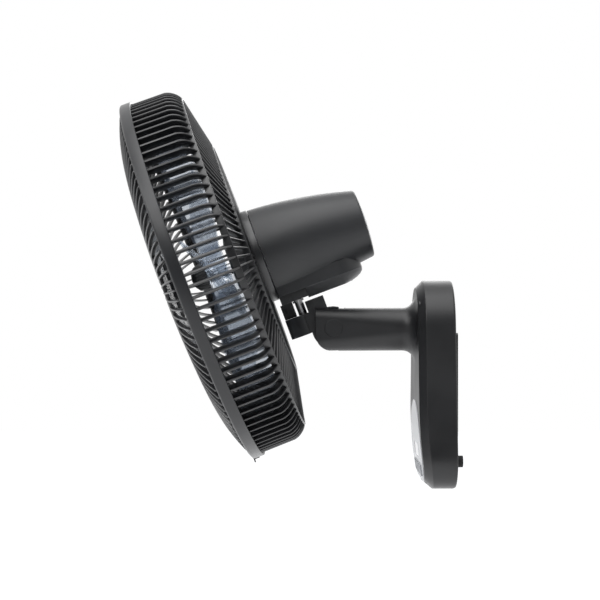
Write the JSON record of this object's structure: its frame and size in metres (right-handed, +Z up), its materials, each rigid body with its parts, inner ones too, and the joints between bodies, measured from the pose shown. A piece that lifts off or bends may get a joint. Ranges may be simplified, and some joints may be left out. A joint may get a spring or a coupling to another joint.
{
  "type": "wall mounted fan",
  "caption": "Wall mounted fan: tilting and swinging caged head on a short arm, with a push button panel on its wall base.",
  "frame": {"origin": "centre of the wall bracket's back face, on the wall", "axes": "+Z up, +Y into the wall, the fan faces -Y"},
  "size_m": [0.432, 0.385, 0.453],
  "materials": {
    "charcoal_plastic": "fine satin texture",
    "base_plastic": "fine satin texture",
    "guard_plastic": "satin",
    "blade_smoke": "smoky translucent plastic",
    "panel_silver": "satin silver film",
    "window_dark": "dark glossy window",
    "key_grey": "satin keys",
    "steel_bright": "bright zinc plated",
    "steel_painted": "black powder coat",
    "cast_alloy": "die cast",
    "rubber_black": "soft matt",
    "bronze": "sintered",
    "laminations": "stacked sheet",
    "copper": "enamelled wire",
    "circuit_board": "solder resist",
    "component_grey": "moulded"
  },
  "bodies": {
    "mount": {"wall_bracket": "steel_painted", "base_rear_cover": "base_plastic", "base_front": "base_plastic", "base_screws": "steel_bright", "bracket_lock_screw": "steel_bright", "wall_buffers": "rubber_black", "cable_grommet": "rubber_black", "control_board": "circuit_board", "board_parts": "component_grey", "motor_capacitor": "component_grey", "panel_board": "circuit_board", "panel_switches": "component_grey", "display_module": "component_grey", "display_window": "window_dark", "control_panel": "panel_silver", "tilt_bolt": "steel_bright", "tilt_nut": "steel_bright", "tilt_washers": "steel_bright", "tilt_caps": "base_plastic"},
    "neck": {"neck_block": "charcoal_plastic", "swing_shaft": "steel_bright", "swing_shaft_nut": "steel_bright", "rocker_lever": "steel_bright"},
    "head": {"pivot_bracket": "steel_painted", "stop_screw": "steel_painted", "swing_motor": "laminations", "motor_front_bell": "cast_alloy", "motor_rear_bell": "cast_alloy", "stator_core": "laminations", "stator_coils": "copper", "front_bearing": "bronze", "rear_bearing": "bronze", "motor_cover": "charcoal_plastic", "cover_screw": "steel_painted", "underside_cover": "charcoal_plastic", "underside_screws": "steel_painted", "rear_guard": "guard_plastic", "guard_nut": "charcoal_plastic", "front_guard": "guard_plastic", "front_badge": "charcoal_plastic", "rim_band": "guard_plastic", "rim_clip": "guard_plastic", "rim_screw": "steel_painted"},
    "rotor": {"motor_shaft": "steel_bright", "rotor_core": "laminations", "drive_pin": "steel_bright", "fan_blade": "blade_smoke", "spinner_nut": "charcoal_plastic"},
    "crank": {"swing_crank": "component_grey"},
    "link": {"swing_link": "steel_bright"},
    "power_key": {"button_power": "key_grey"},
    "speed_key": {"button_speed": "key_grey"},
    "swing_key": {"button_swing": "key_grey"},
    "timer_key": {"button_timer": "key_grey"}
  },
  "joints": [
    {"name": "head_tilt", "type": "hinge", "parent": "mount", "child": "neck", "pos_m": [0, -0.1426, 0.066], "axis": [1, 0, 0], "range_deg": [-20, 20]},
    {"name": "head_swing", "type": "hinge", "parent": "neck", "child": "head", "pos_m": [0, -0.20537, 0.15678], "axis": [0, -0.3518, 0.9361], "range_deg": [-40, 40]},
    {"name": "blade_spin", "type": "hinge", "parent": "head", "child": "rotor", "pos_m": [0, -0.2971, 0.1223], "axis": [0, 0.9361, 0.3518], "continuous": true},
    {"name": "crank_turn", "type": "hinge", "parent": "head", "child": "crank", "pos_m": [-0.00587, -0.16605, 0.17156], "axis": [0, -0.3518, 0.9361], "range_deg": [-60, 60]},
    {"name": "link_pivot", "type": "hinge", "parent": "crank", "child": "link", "pos_m": [-0.01923, -0.16605, 0.17156], "axis": [0, -0.3518, 0.9361], "range_deg": [-60, 60]},
    {"name": "power_press", "type": "slide", "parent": "mount", "child": "power_key", "axis": [0, 0.9903, 0.1391], "range_m": [0, 0.0008], "stiffness_N_per_m": 1500, "springref_m": -0.0004},
    {"name": "speed_press", "type": "slide", "parent": "mount", "child": "speed_key", "axis": [0, 0.9903, 0.1391], "range_m": [0, 0.0008], "stiffness_N_per_m": 1500, "springref_m": -0.0004},
    {"name": "swing_press", "type": "slide", "parent": "mount", "child": "swing_key", "axis": [0, 0.9903, 0.1391], "range_m": [0, 0.0008], "stiffness_N_per_m": 1500, "springref_m": -0.0004},
    {"name": "timer_press", "type": "slide", "parent": "mount", "child": "timer_key", "axis": [0, 0.9903, 0.1391], "range_m": [0, 0.0008], "stiffness_N_per_m": 1500, "springref_m": -0.0004}
  ],
  "couplings": [
    {"joint": "crank_turn", "follows": "head_swing", "ratio": -1.5},
    {"joint": "link_pivot", "follows": "head_swing", "ratio": 1.5}
  ]
}
